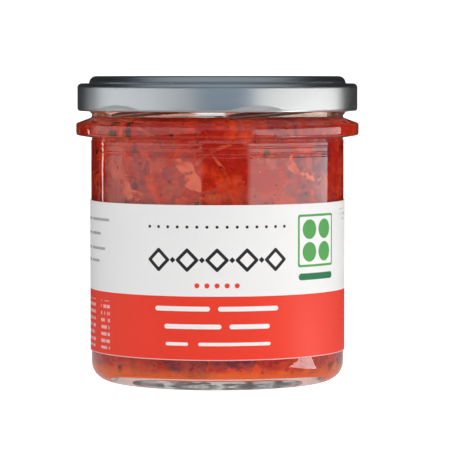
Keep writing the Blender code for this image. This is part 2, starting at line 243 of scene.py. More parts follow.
moved = 0
for vert in glass_jar.data.vertices:
    radius = vert.co.xy.length
    if radius > NECK_R - NECK_MARGIN and vert.co.z > THREAD_ROWS_LOW:
        ridge = ridge_height(vert.co)
        lift = NECK_R + ridge - radius
        if lift > 0 and ridge > 0:
            vert.co.xy *= 1 + lift / radius
            moved += 1
smooth(glass_jar, 40)
print("thread vertices:", moved)

# %% [markdown]
# The cap is thin steel: a raised crown with a sunk panel and a low button, a straight skirt, and a lower
# edge rolled in to a round curl. It is turned like the jar, from its own outline. A number on each vertex
# marks the inner face, which has another lacquer: the point of the outline that lies nearest tells on which
# side of the curl a vertex is.

# %% The cap's outline
STEEL = 0.45 * MM
SKIRT_R = 43.2 * MM
CAP_LOW_Z = 83.1 * MM
SHOULDER_Z = 91.6 * MM
CROWN_R = 39.6 * MM
CAP_TOP_Z = 93.8 * MM
PANEL_Z = 92.55 * MM
SEAL_Z = 92.95 * MM
CURL_IN_R = 41.4 * MM
CURL_TOP_Z = 84.4 * MM
DENT_TOP_Z = 85.0 * MM

cap_corners = [
    (0, PANEL_Z - STEEL, 0),
    (33.2 * MM, PANEL_Z - STEEL, 0),
    (34.3 * MM, SEAL_Z, 0),
    (38.3 * MM, SEAL_Z, 0),
    (CROWN_R - STEEL, 92.2 * MM, 0),
    (CROWN_R - STEEL, SHOULDER_Z - STEEL, 0),
    (SKIRT_R - STEEL, SHOULDER_Z - STEEL, 0.6 * MM),
    (SKIRT_R - STEEL, 85.3 * MM, 0),
    (CURL_IN_R, CURL_TOP_Z, 0.2 * MM),
    (CURL_IN_R, CAP_LOW_Z, 0.7 * MM),
    (SKIRT_R, CAP_LOW_Z, 0.8 * MM),
    (SKIRT_R, SHOULDER_Z, 1.3 * MM),
    (CROWN_R, 91.5 * MM, 0),
    (CROWN_R, CAP_TOP_Z, 2.2 * MM),
    (35.1 * MM, CAP_TOP_Z, 0.6 * MM),
    (33.8 * MM, PANEL_Z, 0.4 * MM),
    (11.0 * MM, PANEL_Z, 0),
    (9.0 * MM, PANEL_Z + 0.35 * MM, 0),
    (0, PANEL_Z + 0.35 * MM, 0),
]
DENT_ROWS_HIGH = DENT_TOP_Z + 0.6 * MM
DENT_ROW_GAP = 0.2 * MM
cap_points = with_rows(rounded(cap_corners), CAP_LOW_Z, DENT_ROWS_HIGH, DENT_ROW_GAP)
steel_cap = turned("steel_cap", cap_points)

inner_count = next(i for i, point in enumerate(cap_points) if point.y < CURL_TOP_Z)
outline_tree = kdtree.KDTree(len(cap_points))
for i, point in enumerate(cap_points):
    outline_tree.insert((point.x, 0, point.y), i)
outline_tree.balance()
lacquered = []
for vert in steel_cap.data.vertices:
    nearest = outline_tree.find((vert.co.xy.length, 0, vert.co.z))[1]
    lacquered.append(1.0 if nearest < inner_count else 0.0)
steel_cap.data.attributes.new("inside", "FLOAT", "POINT").data.foreach_set("value", lacquered)
print("inner vertices:", int(sum(lacquered)))

# %% [markdown]
# At six places the machine presses the skirt inwards, and under each dent a lug grips a thread. The dent
# shows as a low arch in the skirt's lower edge. Every vertex there moves inwards by a rounded amount, and
# the lugs are six small blocks with bevelled edges, turned in to place and joined to the cap.

# %% Dents and lugs
LUG_FIRST = 16
LUG_TIP_R = 39.4 * MM
LUG_ROOT_R = 42.3 * MM
LUG_SIZE = (11.0 * MM, LUG_ROOT_R - LUG_TIP_R, 0.9 * MM)
LUG_Z = 83.85 * MM
DENT_DEPTH = 0.6 * MM
DENT_HALF = 12.0
DENT_SOFTNESS = 2.4
LUG_BEVEL = 0.25 * MM


def dent_depth(point):
    pitch = 360 / LUGS
    offset = (front_degrees(point) - LUG_FIRST + pitch / 2) % pitch - pitch / 2
    across = abs(offset) / DENT_HALF
    if across >= 1:
        return 0.0
    arch = math.cos(across * math.pi / 2)
    top = CAP_LOW_Z + (DENT_TOP_Z - CAP_LOW_Z) * math.sqrt(arch)
    up = (top - point.z) / (DENT_TOP_Z - CAP_LOW_Z)
    return DENT_DEPTH * arch * min(1.0, max(0.0, DENT_SOFTNESS * up))


for vert in steel_cap.data.vertices:
    radius = vert.co.xy.length
    if radius > LUG_TIP_R:
        vert.co.xy *= 1 - dent_depth(vert.co) / radius

thread_slope = math.atan(THREAD_RISE / (math.radians(1) * NECK_R))
lug_blocks = []
for k in range(LUGS):
    deselect_all()
    bpy.ops.mesh.primitive_cube_add(size=1)
    block = bpy.context.object
    block.data.transform(Matrix.Diagonal((*LUG_SIZE, 1)))
    bpy.ops.object.mode_set(mode="EDIT")
    bpy.ops.mesh.select_all(action="SELECT")
    bpy.ops.mesh.bevel(offset=LUG_BEVEL, segments=3)
    bpy.ops.object.mode_set(mode="OBJECT")
    place = (
        Matrix.Rotation(math.radians(LUG_FIRST + k * 360 / LUGS), 4, "Z")
        @ Matrix.Translation((0, -(LUG_ROOT_R + LUG_TIP_R) / 2, LUG_Z))
        @ Matrix.Rotation(-thread_slope, 4, "Y")
    )
    block.data.transform(place)
    lug_blocks.append(block)
deselect_all()
for block in lug_blocks:
    block.select_set(True)
steel_cap.select_set(True)
bpy.context.view_layer.objects.active = steel_cap
bpy.ops.object.join()
smooth(steel_cap, 40)
report(steel_cap)


# %% [markdown]
# The label is a sleeve of coated paper that stops short of itself at the back. A straight line is spun most
# of the way round, then Solidify gives the paper its thickness. The line has a few rows, which keep the
# faces near square, so that the finish lies evenly on them.

# %% The paper sleeve
LABEL_LOW_Z = 9.5 * MM
LABEL_HIGH_Z = 55.7 * MM
PAPER = 0.2 * MM
PAPER_GAP = 0.15 * MM
LABEL_R = BODY_R + PAPER_GAP + PAPER
SEAM_DEGREES = 9.0
LABEL_ROWS = 24

label_line = [
    Vector((LABEL_R, LABEL_HIGH_Z + (LABEL_LOW_Z - LABEL_HIGH_Z) * k / LABEL_ROWS))
    for k in range(LABEL_ROWS + 1)
]
paper_label = turned("paper_label", label_line, degrees=360 - SEAM_DEGREES)
middle = sum((v.co for v in paper_label.data.vertices), Vector()) / len(paper_label.data.vertices)
to_front = -math.pi / 2 - math.atan2(middle.y, middle.x)
paper_label.data.transform(Matrix.Rotation(to_front, 4, "Z"))
bpy.ops.object.modifier_add(type="SOLIDIFY")
paper_label.modifiers[0].thickness = PAPER
paper_label.modifiers[0].offset = -1
bpy.ops.object.modifier_apply(modifier=paper_label.modifiers[0].name)
smooth(paper_label, 40)
report(paper_label)

# %% [markdown]
# Kimchi fills the jar up to the neck. Between the cut cabbage lies a thick red paste of chilli and brine, a
# body turned to the shape of the bore. It reaches a hair into the glass, so that no air shows between them.
# Only over the nearly flat floor it ends a hair above the glass. Seen from the side, the thick base then
# mirrors the bright table and looks clear, as it does on the real jar, with the red above it.

# %% The bore as a formula
INTO_WALL = 0.1 * MM
OVER_FLOOR = 0.06 * MM
FLAT_DEGREES = 24
FILL_Z = 81.0 * MM
TOP_ROWS = 40
PASTE_ROW_GAP = 0.9 * MM
TOP_ROUGHNESS = 2.4


def wall_radius(height):
    """The bore's radius at this height."""
    if height > NECK_BORE_Z:
        return NECK_BORE_R
    if height > SWELL_TOP_Z:
        share = (height - SWELL_TOP_Z) / (NECK_BORE_Z - SWELL_TOP_Z)
        return SWELL_R + (NECK_BORE_R - SWELL_R) * share
    if height > SWELL_LOW_Z:
        return SWELL_R
    if height > SWELL_START_Z:
        share = (height - SWELL_START_Z) / (SWELL_LOW_Z - SWELL_START_Z)
        return BORE_R + (SWELL_R - BORE_R) * share
    rise = max(0.0, height - FLOOR_Z)
    if rise >= BORE_HEEL_R:
        return BORE_R
    return BORE_R - BORE_HEEL_R + math.sqrt(BORE_HEEL_R**2 - (BORE_HEEL_R - rise) ** 2)


# %% [markdown]
# The paste is turned like the glass, from an outline that follows the bore. Its face at the glass and its
# top are then made lumpy: every vertex moves by the value of a noise at its place, which is how a dense
# mesh gets natural unevenness without a hand on each point. The heap lies lower at the back.

# %% The chilli paste
paste_corners = [(0, FLOOR_Z + OVER_FLOOR, 0)]
for degrees in range(0, 91, 6):
    heel_r = BORE_HEEL_R + (INTO_WALL if degrees > FLAT_DEGREES else -OVER_FLOOR)
    turn = math.radians(degrees)
    heel_x = BORE_R - BORE_HEEL_R + heel_r * math.sin(turn)
    paste_corners.append((heel_x, FLOOR_Z + BORE_HEEL_R - heel_r * math.cos(turn), 0))
paste_corners += [
    (BORE_R + INTO_WALL, SWELL_START_Z, 0.9 * MM),
    (SWELL_R + INTO_WALL, SWELL_LOW_Z, 0.5 * MM),
    (SWELL_R + INTO_WALL, SWELL_TOP_Z, 0.5 * MM),
    (wall_radius(FILL_Z) + INTO_WALL, FILL_Z, 0),
]
paste_points = with_rows(rounded(paste_corners), FLOOR_Z, FILL_Z, PASTE_ROW_GAP)
edge = paste_points[-1]
paste_points += [Vector((edge.x * (1 - k / TOP_ROWS), edge.y)) for k in range(1, TOP_ROWS + 1)]
chilli_paste = turned("chilli_paste", paste_points)


def slant(y):
    """How much lower the filling lies towards the back."""
    return 0.9 * MM * (0.4 + y / BORE_R)


def lump(point):
    """An uneven height, from about -0.3 to 0.3 millimetres."""
    coarse = noise.noise(point * 150)
    fine = noise.noise(point * 520 + Vector((3, 1, 4)))
    return 0.24 * coarse * MM + 0.12 * fine * MM


for vert in chilli_paste.data.vertices:
    if vert.co.z > FILL_Z - 0.01 * MM:
        level_place = Vector((vert.co.x, vert.co.y, 0))
        vert.co.z += TOP_ROUGHNESS * lump(level_place) - slant(vert.co.y)
    elif vert.co.z > FLOOR_Z + BORE_HEEL_R:
        vert.co.xy *= 1 + max(0.0, lump(vert.co)) / vert.co.xy.length
smooth(chilli_paste, 60)
report(chilli_paste)

# %% [markdown]
# Thin brine wets the neck above the heap. It is a ring of film that overlaps the glass a little: light then
# crosses one surface of each in turn, and bends as it does on its way from glass to water.

# %% The brine in the neck
FILM_TOP_Z = 88.5 * MM
FILM_OUT_R = NECK_BORE_R + INTO_WALL
FILM_IN_R = NECK_BORE_R - INTO_WALL
film_corners = [
    (FILM_OUT_R, FILM_TOP_Z, 0),
    (FILM_OUT_R, NECK_BORE_Z + 0.1 * MM, 0),
    (FILM_OUT_R + 0.5 * MM, FILL_Z + 0.1 * MM, 0),
    (FILM_IN_R, FILL_Z - 0.3 * MM, 0),
    (FILM_IN_R, FILM_TOP_Z, 0),
    (FILM_OUT_R, FILM_TOP_Z, 0),
]
brine = turned("brine", with_rows(rounded(film_corners), FILL_Z, FILM_TOP_Z, 0.5 * MM))
smooth(brine, 40)
report(brine)

# %% [markdown]
# Five kinds of cut vegetable show at the glass: scraps of leaf, thick pale ribs, thin shreds, bits of green
# onion, and chilli flakes. Each kind is modelled once, flat, then every copy is bent against the bore. A
# piece is a low pillow: its middle reaches a little further into the glass than the paste does, and its
# rim dips under the paste, so that its outline there is as uneven as on the real food.

# %% Model one flat piece of each kind
def flat_piece(name, cuts_x, cuts_y, thick):
    """A square slab of side 2 with its outer face at Z = 0, cut in rows both ways."""
    deselect_all()
    bpy.ops.mesh.primitive_grid_add(x_subdivisions=cuts_x, y_subdivisions=cuts_y, size=2)
    piece = bpy.context.object
    piece.name = name
    bpy.ops.object.modifier_add(type="SOLIDIFY")
    piece.modifiers[0].thickness = thick
    piece.modifiers[0].offset = -1
    bpy.ops.object.modifier_apply(modifier=piece.modifiers[0].name)
    return piece


leaf_master = flat_piece("leaf_master", 22, 16, 1.0)
rib_master = flat_piece("rib_master", 20, 10, 1.0)
shred_master = flat_piece("shred_master", 14, 4, 1.0)
onion_master = flat_piece("onion_master", 7, 5, 1.0)
flake_master = flat_piece("flake_master", 3, 3, 1.0)
masters = (leaf_master, rib_master, shred_master, onion_master, flake_master)
print("masters:", [len(m.data.vertices) for m in masters])

# %% [markdown]
# A square slab becomes a food piece when its corners are drawn in to a round, uneven outline. The bend
# against the glass is a plain formula for the jar's curve, which no bending tool does as exactly, so the
# copies are placed in code. Each copy also gets its own tone, a number that its material reads.

# %% Press the pieces against the glass
LOWEST_Z = 4.6 * MM
RIM_DIP = 0.8 * MM
RIPPLE = 0.2 * MM
CORNER_DRAW = 0.42


def shaped(master, length, width, thick, bow, raggedness, seed):
    """Points of one piece of this size, lying flat, with an uneven rounded outline and a pillowed face."""
    points = []
    for vert in master.data.vertices:
        u = vert.co.x
        v = vert.co.y
        round_u = u * math.sqrt(1 - CORNER_DRAW * v * v)
        round_v = v * math.sqrt(1 - CORNER_DRAW * u * u)
        edge = max(abs(u), abs(v))
        sample = Vector((round_u * length / MM * 0.16, round_v * width / MM * 0.16, seed))
        wobble = raggedness * noise.noise(sample) * edge
        x = round_u * (1 + wobble) * length / 2
        y = round_v * (1 + wobble) * width / 2 + bow * (1 - u * u)
        dip = edge**4 * RIM_DIP
        ripple = RIPPLE * noise.noise(sample * 2.3)
        z = vert.co.z * thick + (ripple - dip if vert.co.z > -0.5 else dip)
        points.append(Vector((x, y, z)))
    return points


def against_glass(points, degrees, height, tilt, reach):
    """The piece's points bent to the bore, with its face this far in the wall."""
    turn = Matrix.Rotation(tilt, 2)
    placed = []
    for point in points:
        along, up = turn @ point.xy
        level = min(max(height + up, LOWEST_Z), FILL_Z)
        radius = wall_radius(level) + reach + point.z
        angle = math.radians(degrees - 90) + along / BORE_R
        placed.append(Vector((radius * math.cos(angle), radius * math.sin(angle), level)))
    return placed


def on_top(points, x, y, turn):
    """The piece's points laid on the heap, half sunk in it."""
    place = Matrix.Translation((x, y, FILL_Z - slant(y) + 0.5 * MM)) @ Matrix.Rotation(turn, 4, "Z")
    return [place @ point for point in points]


def gathered(name, master, copies):
    """One mesh of many copies. Each copy is (points, tone), and keeps its flat place as its UV map."""
    verts = []
    faces = []
    tones = []
    flat = []
    for points, tone in copies:
        base = len(verts)
        verts += points
        faces += [[base + i for i in face.vertices] for face in master.data.polygons]
        tones += [tone] * len(points)
        flat += [(vert.co.x, vert.co.y) for vert in master.data.vertices]
    mesh = bpy.data.meshes.new(name)
    mesh.from_pydata(verts, [], faces)
    mesh.attributes.new("tone", "FLOAT", "POINT").data.foreach_set("value", tones)
    layer = mesh.uv_layers.new(name="flat")
    for loop in mesh.loops:
        layer.data[loop.index].uv = flat[loop.vertex_index]
    piece = bpy.data.objects.new(name, mesh)
    bpy.context.collection.objects.link(piece)
    smooth(piece, 60)
    report(piece)
    return piece


# %% [markdown]
# The pieces are dealt round the jar by the golden angle, shaken a little, which spreads them evenly. Sizes
# come from how kimchi is cut: leaf scraps of about two centimetres, ribs a little narrower, shreds of a few
# millimetres. A fixed seed gives the same jar each time.

# %% Deal the pieces round the jar
GOLDEN = 137.508
HIGHEST_Z = 81.0 * MM
rng = random.Random(11)


def dealt(master, count, lengths, widths, thick, most_bow, raggedness, reaches):
    copies = []
    first = rng.uniform(0, 360)
    for k in range(count):
        length = rng.uniform(*lengths) * MM
        width = rng.uniform(*widths) * MM
        bow = rng.uniform(-most_bow, most_bow) * MM
        points = shaped(master, length, width, thick * MM, bow, raggedness, rng.uniform(0, 90))
        height = rng.uniform(LOWEST_Z, HIGHEST_Z)
        tilt = rng.uniform(-1.5, 1.5)
        reach = rng.uniform(*reaches) * MM
        degrees = first + k * GOLDEN + rng.uniform(-9, 9)
        copies.append((against_glass(points, degrees, height, tilt, reach), rng.random()))
    return copies


leaf_copies = dealt(leaf_master, 110, (15, 26), (10, 17), 1.3, 1.5, 0.55, (0.3, 0.6))
rib_copies = dealt(rib_master, 60, (12, 22), (4.5, 7.5), 2.2, 1.5, 0.35, (0.3, 0.6))
shred_copies = dealt(shred_master, 70, (9, 19), (1.5, 2.4), 1.6, 2.5, 0.25, (0.4, 0.65))
onion_copies = dealt(onion_master, 44, (1.0, 2.6), (0.6, 1.6), 0.5, 0.2, 0.6, (0.75, 0.9))
flake_copies = dealt(flake_master, 1000, (0.35, 0.9), (0.25, 0.6), 0.25, 0.0, 0.5, (0.7, 0.9))

TOP_SPOTS = ((-24, -8), (15, -18), (-19, 17), (12, 4), (22, 12), (-27, 4), (13, 24), (25, -6))
kinds = ((leaf_master, leaf_copies), (rib_master, rib_copies))
for k, (x, y) in enumerate(TOP_SPOTS):
    master, copies = kinds[k % 2]
    points = shaped(master, 17 * MM, 8 * MM, 1.6 * MM, MM, 0.4, k)
    copies.append((on_top(points, x * MM, y * MM, math.pi / 2 + 0.4 * math.sin(k)), rng.random()))

cabbage_leaves = gathered("cabbage_leaves", leaf_master, leaf_copies)
cabbage_ribs = gathered("cabbage_ribs", rib_master, rib_copies)
radish_shreds = gathered("radish_shreds", shred_master, shred_copies)
green_onions = gathered("green_onions", onion_master, onion_copies)
chilli_flakes = gathered("chilli_flakes", flake_master, flake_copies)
for master in masters:
    bpy.data.objects.remove(master, do_unlink=True)

# %% [markdown]
# Materials are node trees. Two small helpers keep the cells short: one adds a node and fills its inputs,
# and one does a sum. Every pattern reads Object coordinates, so it stays where it is on the piece.

# %% Helpers for node trees
def add_node(tree, kind, inputs=None, **settings):
    made = tree.nodes.new(kind)
    for key, value in settings.items():
        setattr(made, key, value)
    for key, value in (inputs or {}).items():
        if isinstance(value, bpy.types.NodeSocket):
            tree.links.new(value, made.inputs[key])
        else:
            made.inputs[key].default_value = value
    return made


def calc(tree, operation, a, b=0.0, c=0.0):
    values = {0: a, 1: b, 2: c} if operation == "MULTIPLY_ADD" else {0: a, 1: b}
    if operation in ("ABSOLUTE", "FLOOR", "FRACT", "SQRT", "SINE", "COSINE"):
        values = {0: a}
    return add_node(tree, "ShaderNodeMath", values, operation=operation).outputs[0]


def ramp(tree, value, low, high):
    """0 below low, 1 above high, and smooth between."""
    spread = add_node(
        tree,
        "ShaderNodeMapRange",
        {"Value": value, "From Min": low, "From Max": high},
        interpolation_type="SMOOTHSTEP",
    )
    return spread.outputs["Result"]


def mixed(tree, factor, a, b):
    blend = add_node(tree, "ShaderNodeMix", data_type="RGBA")
    for socket, value in ((blend.inputs[0], factor), (blend.inputs[6], a), (blend.inputs[7], b)):
        if isinstance(value, bpy.types.NodeSocket):
            tree.links.new(value, socket)
        else:
            socket.default_value = value
    return blend.outputs[2]


def cloud(tree, vector, scale, detail=2.0, roughness=0.5, distortion=0.0):
    values = {"Vector": vector, "Scale": scale, "Detail": detail}
    values.update({"Roughness": roughness, "Distortion": distortion})
    return add_node(tree, "ShaderNodeTexNoise", values).outputs["Fac"]


def new_material(name):
    material = bpy.data.materials.new(name)
    material.use_nodes = True
    tree = material.node_tree
    shader = tree.nodes["Principled BSDF"]
    place = add_node(tree, "ShaderNodeTexCoord").outputs["Object"]
    return material, tree, shader, place


def rgb(red, green, blue):
    """A colour given as it looks on a screen, 0 to 255, as the linear values that nodes take."""
    linear = [((c / 255 + 0.055) / 1.055) ** 2.4 if c > 10 else c / 255 / 12.92 for c in (red, green, blue)]
    return (*linear, 1.0)


def dress(piece, material, slot_name, *nodes):
    piece.data.materials.clear()
    piece.data.materials.append(material)
    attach(piece, "root")
    if nodes:
        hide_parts(*nodes)


# %% [markdown]
# Clear glass bends light and mirrors a little of it. A pressed jar is never quite even, so a very faint
# bump moves the reflections. Light reaches the food through the glass: for shadow rays and for light that
# the food scatters, clear things are made see-through, because a path tracer would else have to find each
# lamp through several refractions by chance. In the thick base light is mirrored again and again, more often
# than a render follows it, so from the third time on the glass glows with a painted streaky grey instead.

# %% Clear glass
def lit_through(tree, shader, tint):
    """Swaps the shader for a tinted see-through one for shadow rays and scattered light."""
    clear = add_node(tree, "ShaderNodeBsdfTransparent", {"Color": tint})
    rays = add_node(tree, "ShaderNodeLightPath").outputs
    soft_ray = calc(tree, "MAXIMUM", rays["Is Shadow Ray"], rays["Is Diffuse Ray"])
    either = add_node(tree, "ShaderNodeMixShader", {0: soft_ray})
    tree.links.new(shader.outputs[0], either.inputs[1])
    tree.links.new(clear.outputs[0], either.inputs[2])
    tree.links.new(either.outputs[0], tree.nodes["Material Output"].inputs["Surface"])


# Painted glow: the glass itself emits this streaky grey for rays mirrored three times or more, in place of
# traced light.
STREAK_DARK = 0.10
STREAK_LIGHT = 0.52
MIRRORED_TWICE = 2.5
glass, tree, shader, place = new_material("clear_glass")
shader.inputs["Base Color"].default_value = (0.975, 0.99, 0.985, 1)
shader.inputs["IOR"].default_value = 1.5
shader.inputs["Transmission Weight"].default_value = 1.0
shader.inputs["Roughness"].default_value = 0.0
waves = cloud(tree, place, 55.0, detail=1.0)
bump = add_node(tree, "ShaderNodeBump", {"Strength": 0.25, "Distance": 0.12 * MM, "Height": waves})
tree.links.new(bump.outputs[0], shader.inputs["Normal"])
rays = add_node(tree, "ShaderNodeLightPath").outputs
stretched = add_node(tree, "ShaderNodeMapping", {"Vector": place, "Scale": (1.0, 1.0, 9.0)}).outputs[0]
streaks = ramp(tree, cloud(tree, stretched, 160.0, detail=3.0, distortion=1.0), 0.38, 0.62)
streak_glow = calc(tree, "MULTIPLY_ADD", streaks, STREAK_LIGHT - STREAK_DARK, STREAK_DARK)
painted_base_glow = add_node(tree, "ShaderNodeEmission", {"Color": (1.0, 0.93, 0.92, 1), "Strength": streak_glow})
often_mirrored = calc(tree, "GREATER_THAN", rays["Glossy Depth"], MIRRORED_TWICE)
followed = add_node(tree, "ShaderNodeMixShader", {0: often_mirrored})
tree.links.new(shader.outputs[0], followed.inputs[1])
tree.links.new(painted_base_glow.outputs[0], followed.inputs[2])
lit_through(tree, followed, (0.95, 0.96, 0.955, 1))
dress(glass_jar, glass, "glass", "jar")

# %% [markdown]
# Brine bends light less than glass does, and chilli stains it orange. In the neck it is only a smeared film,
# with a stain that changes from place to place: orange at the left, darker at the right, paler at the back,
# and wiped nearly clear in one spot.

# %% Orange brine
LEFT_STAIN = (0.90, 0.34, 0.20, 1)
RIGHT_STAIN = (0.50, 0.27, 0.18, 1)
BACK_STAIN = (0.84, 0.74, 0.67, 1)
WIPED_STAIN = (0.98, 0.95, 0.93, 1)
CLEAR_FROM_X = -6.5 * MM
CLEAR_TO_X = 2.3 * MM
orange_brine, tree, shader, place = new_material("orange_brine")
shader.inputs["Roughness"].default_value = 0.0
shader.inputs["IOR"].default_value = 1.34
shader.inputs["Transmission Weight"].default_value = 1.0
lit_through(tree, shader, (1.0, 0.96, 0.92, 1))
axes = add_node(tree, "ShaderNodeSeparateXYZ", {0: place}).outputs
smears = cloud(tree, place, 130.0, detail=4.0, roughness=0.65, distortion=1.5)
shaken = calc(tree, "MULTIPLY_ADD", calc(tree, "SUBTRACT", smears, 0.5), 60 * MM, axes[0])
rightness = ramp(tree, shaken, -28 * MM, 22 * MM)
front_stain = mixed(tree, rightness, LEFT_STAIN, RIGHT_STAIN)
past_left = ramp(tree, axes[0], CLEAR_FROM_X - 2.0 * MM, CLEAR_FROM_X + 2.0 * MM)
short_of_right = ramp(tree, axes[0], CLEAR_TO_X + 0.6 * MM, CLEAR_TO_X - 0.6 * MM)
wiped = calc(tree, "MULTIPLY", past_left, short_of_right)
backness = ramp(tree, axes[1], -4 * MM, 4 * MM)
stain = mixed(tree, backness, front_stain, BACK_STAIN)
stain = mixed(tree, calc(tree, "MULTIPLY", wiped, 0.9), stain, WIPED_STAIN)
tree.links.new(stain, shader.inputs["Base Color"])
dress(brine, orange_brine, "kimchi")

# %% [markdown]
# Satin steel is metal under a thin silver lacquer. Its grain is too fine to see as lines, yet it breaks up
# the reflections, so a fine noise drives both a slight bump and the roughness. The inside of a cap has a
# cream lacquer instead, which an attribute on the vertices tells apart.

# %% Satin steel
steel, tree, shader, place = new_material("satin_steel")
grain = cloud(tree, place, 1500.0, detail=3.0, roughness=0.7)
patches = cloud(tree, place, 90.0, detail=3.0)
inner = add_node(tree, "ShaderNodeAttribute", attribute_name="inside").outputs["Fac"]
silver = mixed(tree, patches, (0.585, 0.605, 0.62, 1), (0.63, 0.645, 0.655, 1))
tone = mixed(tree, inner, silver, rgb(226, 214, 190))
roughness = calc(tree, "MULTIPLY_ADD", grain, 0.10, 0.26)
tree.links.new(tone, shader.inputs["Base Color"])
tree.links.new(roughness, shader.inputs["Roughness"])
tree.links.new(calc(tree, "SUBTRACT", 1.0, inner), shader.inputs["Metallic"])
bump = add_node(tree, "ShaderNodeBump", {"Strength": 0.5, "Distance": 0.015 * MM, "Height": grain})
tree.links.new(bump.outputs[0], shader.inputs["Normal"])
dress(steel_cap, steel, "cap_steel", "lid")

# %% [markdown]
# The label's print is plain fields of colour and simple shapes. To draw on a cylinder, the paper is first
# unrolled in the shader: the angle round the jar times its radius is the distance along the paper, and the
# height is Z, both in millimetres from the front. This is a node group, as is each kind of printed shape.

# %% Unroll the label
unroll = bpy.data.node_groups.new("unrolled_label", "ShaderNodeTree")
unroll.interface.new_socket("Place", in_out="INPUT", socket_type="NodeSocketVector")
unroll.interface.new_socket("Along", in_out="OUTPUT", socket_type="NodeSocketFloat")
unroll.interface.new_socket("Up", in_out="OUTPUT", socket_type="NodeSocketFloat")
ends = [unroll.nodes.new("NodeGroupInput"), unroll.nodes.new("NodeGroupOutput")]
axes = add_node(unroll, "ShaderNodeSeparateXYZ", {0: ends[0].outputs[0]}).outputs
toward = calc(unroll, "MULTIPLY", axes[1], -1.0)
angle = calc(unroll, "ARCTAN2", axes[0], toward)
unroll.links.new(calc(unroll, "MULTIPLY", angle, LABEL_R / MM), ends[1].inputs[0])
unroll.links.new(calc(unroll, "MULTIPLY", axes[2], 1 / MM), ends[1].inputs[1])

# %% [markdown]
# A printed bar is a rectangle with round corners, which also makes a dot, a line or a square, and turned by
# 45 degrees a diamond. Its mask is the distance to the rounded rectangle, cut off sharply at the edge.

# %% A printed bar
bar = bpy.data.node_groups.new("printed_bar", "ShaderNodeTree")
BAR_INPUTS = ("Along", "Up", "Centre Along", "Centre Up", "Half Width", "Half Height", "Corner", "Turn")
for socket in BAR_INPUTS:
    bar.interface.new_socket(socket, in_out="INPUT", socket_type="NodeSocketFloat")
bar.interface.new_socket("Mask", in_out="OUTPUT", socket_type="NodeSocketFloat")
given = bar.nodes.new("NodeGroupInput").outputs
answer = bar.nodes.new("NodeGroupOutput")
across = calc(bar, "SUBTRACT", given[0], given[2])
above = calc(bar, "SUBTRACT", given[1], given[3])
cosine = calc(bar, "COSINE", given[7])
sine = calc(bar, "SINE", given[7])
above_sine = calc(bar, "MULTIPLY", above, sine)
across_sine = calc(bar, "MULTIPLY", across, sine)
turned_across = calc(bar, "ADD", calc(bar, "MULTIPLY", across, cosine), above_sine)
turned_above = calc(bar, "SUBTRACT", calc(bar, "MULTIPLY", above, cosine), across_sine)
far = []
for offset, half in ((turned_across, 4), (turned_above, 5)):
    inner = calc(bar, "SUBTRACT", given[half], given[6])
    outside = calc(bar, "SUBTRACT", calc(bar, "ABSOLUTE", offset), inner)
    far.append(calc(bar, "MAXIMUM", outside, 0.0))
squares = [calc(bar, "MULTIPLY", side, side) for side in far]
distance = calc(bar, "SQRT", calc(bar, "ADD", *squares))
beyond = calc(bar, "SUBTRACT", distance, given[6])
inked = ramp(bar, calc(bar, "MULTIPLY", beyond, -1.0), -0.06, 0.06)
bar.links.new(inked, answer.inputs[0])

# %% [markdown]
# Small print becomes rows of short dashes. Rows come from the height modulo the line spacing, and a noise
# that is stretched along each row cuts it in dashes of uneven length. A box says where such a block is.

# %% A block of small dashes
block_print = bpy.data.node_groups.new("small_dashes", "ShaderNodeTree")
for socket in ("Along", "Up", "Box", "Spacing"):
    block_print.interface.new_socket(socket, in_out="INPUT", socket_type="NodeSocketFloat")
block_print.interface.new_socket("Mask", in_out="OUTPUT", socket_type="NodeSocketFloat")
given = block_print.nodes.new("NodeGroupInput").outputs
answer = block_print.nodes.new("NodeGroupOutput")
rows = calc(block_print, "DIVIDE", given[1], given[3])
row = calc(block_print, "FLOOR", rows)
within = calc(block_print, "FRACT", rows)
near_row = calc(block_print, "ABSOLUTE", calc(block_print, "SUBTRACT", within, 0.5))
line = ramp(block_print, near_row, 0.27, 0.20)
row_shift = calc(block_print, "MULTIPLY", row, 7.3)
sample = add_node(block_print, "ShaderNodeCombineXYZ", {0: given[0], 1: row_shift})
words = ramp(block_print, cloud(block_print, sample.outputs[0], 0.55, detail=1.0), 0.42, 0.45)
both = calc(block_print, "MULTIPLY", calc(block_print, "MULTIPLY", line, words), given[2])
block_print.links.new(both, answer.inputs[0])

# %% [markdown]
# Now the sleeve itself: matt white paper with a red lower half. Each printed shape is laid over the last as
# one more colour mix. Fine fibre noise keeps the paper from looking like plastic, and the ink is a little
# uneven where it covers large fields.

# %% Printed paper
WHITE_INK = rgb(247, 247, 246)
RED_INK = rgb(246, 62, 38)
DARK_INK = rgb(38, 36, 38)
GREY_INK = rgb(176, 176, 178)
GREEN_INK = rgb(84, 170, 84)
DEEP_GREEN_INK = rgb(20, 122, 74)
RED_TOP = 28.6

paper, tree, shader, place = new_material("printed_paper")
flat = add_node(tree, "ShaderNodeGroup", node_tree=unroll)
tree.links.new(place, flat.inputs[0])
along, up = flat.outputs[0], flat.outputs[1]


def bar_mask(centre, size, corner, turn=0.0):
    made = add_node(tree, "ShaderNodeGroup", node_tree=bar)
    values = (*centre, size[0] / 2, size[1] / 2, min(corner, min(size) / 2), turn)
    tree.links.new(along, made.inputs[0])
    tree.links.new(up, made.inputs[1])
    for socket, value in zip(list(made.inputs)[2:], values):
        socket.default_value = value
    return made.outputs[0]


def dashes_mask(centre, size, spacing):
    made = add_node(tree, "ShaderNodeGroup", node_tree=block_print)
    tree.links.new(along, made.inputs[0])
    tree.links.new(up, made.inputs[1])
    tree.links.new(bar_mask(centre, size, 0.0), made.inputs[2])
    made.inputs[3].default_value = spacing
    return made.outputs[0]


